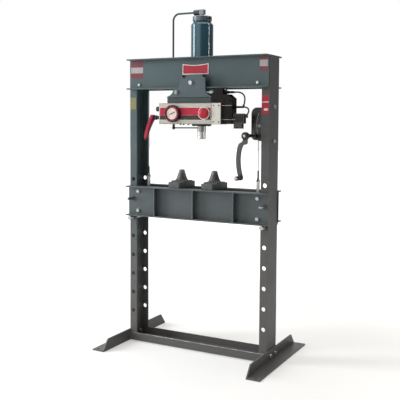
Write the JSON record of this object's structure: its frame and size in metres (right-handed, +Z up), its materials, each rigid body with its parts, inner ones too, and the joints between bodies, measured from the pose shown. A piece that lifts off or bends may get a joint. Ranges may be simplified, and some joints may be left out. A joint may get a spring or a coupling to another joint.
{
  "type": "pneumatic H-frame press",
  "caption": "Free-standing H-frame press with a hydraulic cylinder and air-driven pump in the top beam, a winch-lifted table carried on pins, and angle feet.",
  "frame": {"origin": "middle of the footprint on the floor", "axes": "+X to the operator's right along the beam, -Y towards the operator, +Z up"},
  "size_m": [1.21, 0.788, 2.2605],
  "materials": {
    "frame_paint": "satin",
    "casting_paint": "satin",
    "block_steel": "satin",
    "zinc": "satin",
    "cable": "satin",
    "black_steel": "satin",
    "dark_iron": "satin",
    "cylinder_paint": "satin",
    "ram_chrome": "polished",
    "pump_aluminium": "satin",
    "plug_steel": "satin",
    "gauge_rubber": "matte",
    "white_plastic": "matte",
    "needle_black": "matte",
    "clear_cover": "clear",
    "red_plastic": "glossy",
    "red_paint": "satin",
    "black_plastic": "satin",
    "hose_rubber": "satin",
    "grip_plastic": "satin"
  },
  "bodies": {
    "frame": {"left_upright": "frame_paint", "right_upright": "frame_paint", "beam_front": "frame_paint", "beam_rear": "frame_paint", "beam_tie_bolts": "zinc", "beam_spacers": "frame_paint", "base_channel": "frame_paint", "left_foot": "frame_paint", "right_foot": "frame_paint", "frame_bolts": "zinc", "left_lift_cable": "cable", "right_lift_cable": "cable", "cross_cable": "cable", "sheave_axles": "zinc", "winch_frame": "black_steel", "head_casting": "casting_paint", "head_screws": "black_steel", "cylinder_body": "cylinder_paint", "cylinder_cap": "cylinder_paint", "gland_plate": "black_steel", "pressure_pipe": "zinc", "pipe_fittings": "zinc", "return_line": "black_steel", "pump_body": "pump_aluminium", "pump_end_cap": "pump_aluminium", "pump_plugs": "plug_steel", "gauge_case": "gauge_rubber", "gauge_dial": "white_plastic", "gauge_glass": "clear_cover", "regulator_ring": "white_plastic", "lever_shaft": "plug_steel", "air_motor": "black_plastic", "air_filter": "black_plastic", "air_hoses": "hose_rubber", "badge_plate": "red_paint"},
    "table": {"table_front": "frame_paint", "table_rear": "frame_paint", "table_ribs": "frame_paint", "table_bolts": "zinc", "table_spacers": "frame_paint", "left_block": "block_steel", "right_block": "block_steel", "lift_lugs": "zinc", "lift_hooks": "black_steel"},
    "left_carrying_pin": {"left_carrying_pin": "zinc"},
    "right_carrying_pin": {"right_carrying_pin": "zinc"},
    "left_keeper_pin": {"left_keeper_pin": "zinc"},
    "right_keeper_pin": {"right_keeper_pin": "zinc"},
    "left_sheave": {"left_sheave": "dark_iron"},
    "right_sheave": {"right_sheave": "dark_iron"},
    "guide_roller": {"guide_roller": "zinc"},
    "winch_drum": {"winch_drum": "dark_iron"},
    "crank": {"winch_pinion": "zinc", "crank_arm": "black_steel"},
    "crank_grip": {"crank_grip": "grip_plastic"},
    "ram": {"ram": "ram_chrome", "ram_nose": "zinc"},
    "gauge_needle": {"gauge_needle": "needle_black"},
    "regulator_knob": {"regulator_knob": "red_plastic"},
    "lever": {"lever": "red_paint"}
  },
  "joints": [
    {"name": "table_lift", "type": "slide", "parent": "frame", "child": "table", "axis": [0, 0, 1], "range_m": [0, 0.18], "deforming": ["left_lift_cable", "right_lift_cable"]},
    {"name": "left_carrying_pin_pull", "type": "slide", "parent": "frame", "child": "left_carrying_pin", "axis": [0, -1, 0], "range_m": [0, 0.2]},
    {"name": "right_carrying_pin_pull", "type": "slide", "parent": "frame", "child": "right_carrying_pin", "axis": [0, -1, 0], "range_m": [0, 0.2]},
    {"name": "left_keeper_pin_pull", "type": "slide", "parent": "table", "child": "left_keeper_pin", "axis": [0, -1, 0], "range_m": [0, 0.025]},
    {"name": "right_keeper_pin_pull", "type": "slide", "parent": "table", "child": "right_keeper_pin", "axis": [0, -1, 0], "range_m": [0, 0.025]},
    {"name": "left_sheave_turn", "type": "hinge", "parent": "frame", "child": "left_sheave", "pos_m": [-0.37124, 0.00653, 1.835], "axis": [-0.1633, 0.9866, 0], "range_deg": [0, 262]},
    {"name": "right_sheave_turn", "type": "hinge", "parent": "frame", "child": "right_sheave", "pos_m": [0.42572, 0.00578, 1.835], "axis": [0.1446, 0.9895, 0], "range_deg": [0, 262]},
    {"name": "guide_roller_turn", "type": "hinge", "parent": "frame", "child": "guide_roller", "pos_m": [0, 0.056, 1.875], "axis": [0, 0, 1], "range_deg": [-865, 0]},
    {"name": "drum_turn", "type": "hinge", "parent": "frame", "child": "winch_drum", "pos_m": [0.438, 0, 1.50229], "axis": [0, 1, 0], "range_deg": [0, 382]},
    {"name": "crank_turn", "type": "hinge", "parent": "frame", "child": "crank", "pos_m": [0.412, -0.12, 1.44], "axis": [0, 1, 0], "range_deg": [-1520, 0]},
    {"name": "grip_spin", "type": "hinge", "parent": "crank", "child": "crank_grip", "pos_m": [0.38067, -0.23, 1.182], "axis": [0, -1, 0], "continuous": true},
    {"name": "ram_slide", "type": "slide", "parent": "frame", "child": "ram", "axis": [0, 0, -1], "range_m": [0, 0.15], "stiffness_N_per_m": 1600, "springref_m": -0.15},
    {"name": "needle_turn", "type": "hinge", "parent": "frame", "child": "gauge_needle", "pos_m": [-0.119, -0.19125, 1.577], "axis": [0, 1, 0], "range_deg": [0, 254], "stiffness_Nm_per_rad": 0.002, "springref_deg": -17.19},
    {"name": "knob_turn", "type": "hinge", "parent": "frame", "child": "regulator_knob", "pos_m": [0.109, -0.19, 1.579], "axis": [0, -1, 0], "range_deg": [-135, 135]},
    {"name": "lever_swing", "type": "hinge", "parent": "frame", "child": "lever", "pos_m": [-0.287, -0.15, 1.551], "axis": [1, 0, 0], "range_deg": [-20, 20]}
  ],
  "couplings": [
    {"joint": "drum_turn", "follows": "table_lift", "rad_per_m": 36.63},
    {"joint": "crank_turn", "follows": "table_lift", "rad_per_m": -146.52},
    {"joint": "left_sheave_turn", "follows": "table_lift", "rad_per_m": 25},
    {"joint": "right_sheave_turn", "follows": "table_lift", "rad_per_m": 25},
    {"joint": "guide_roller_turn", "follows": "table_lift", "rad_per_m": -83.333}
  ]
}
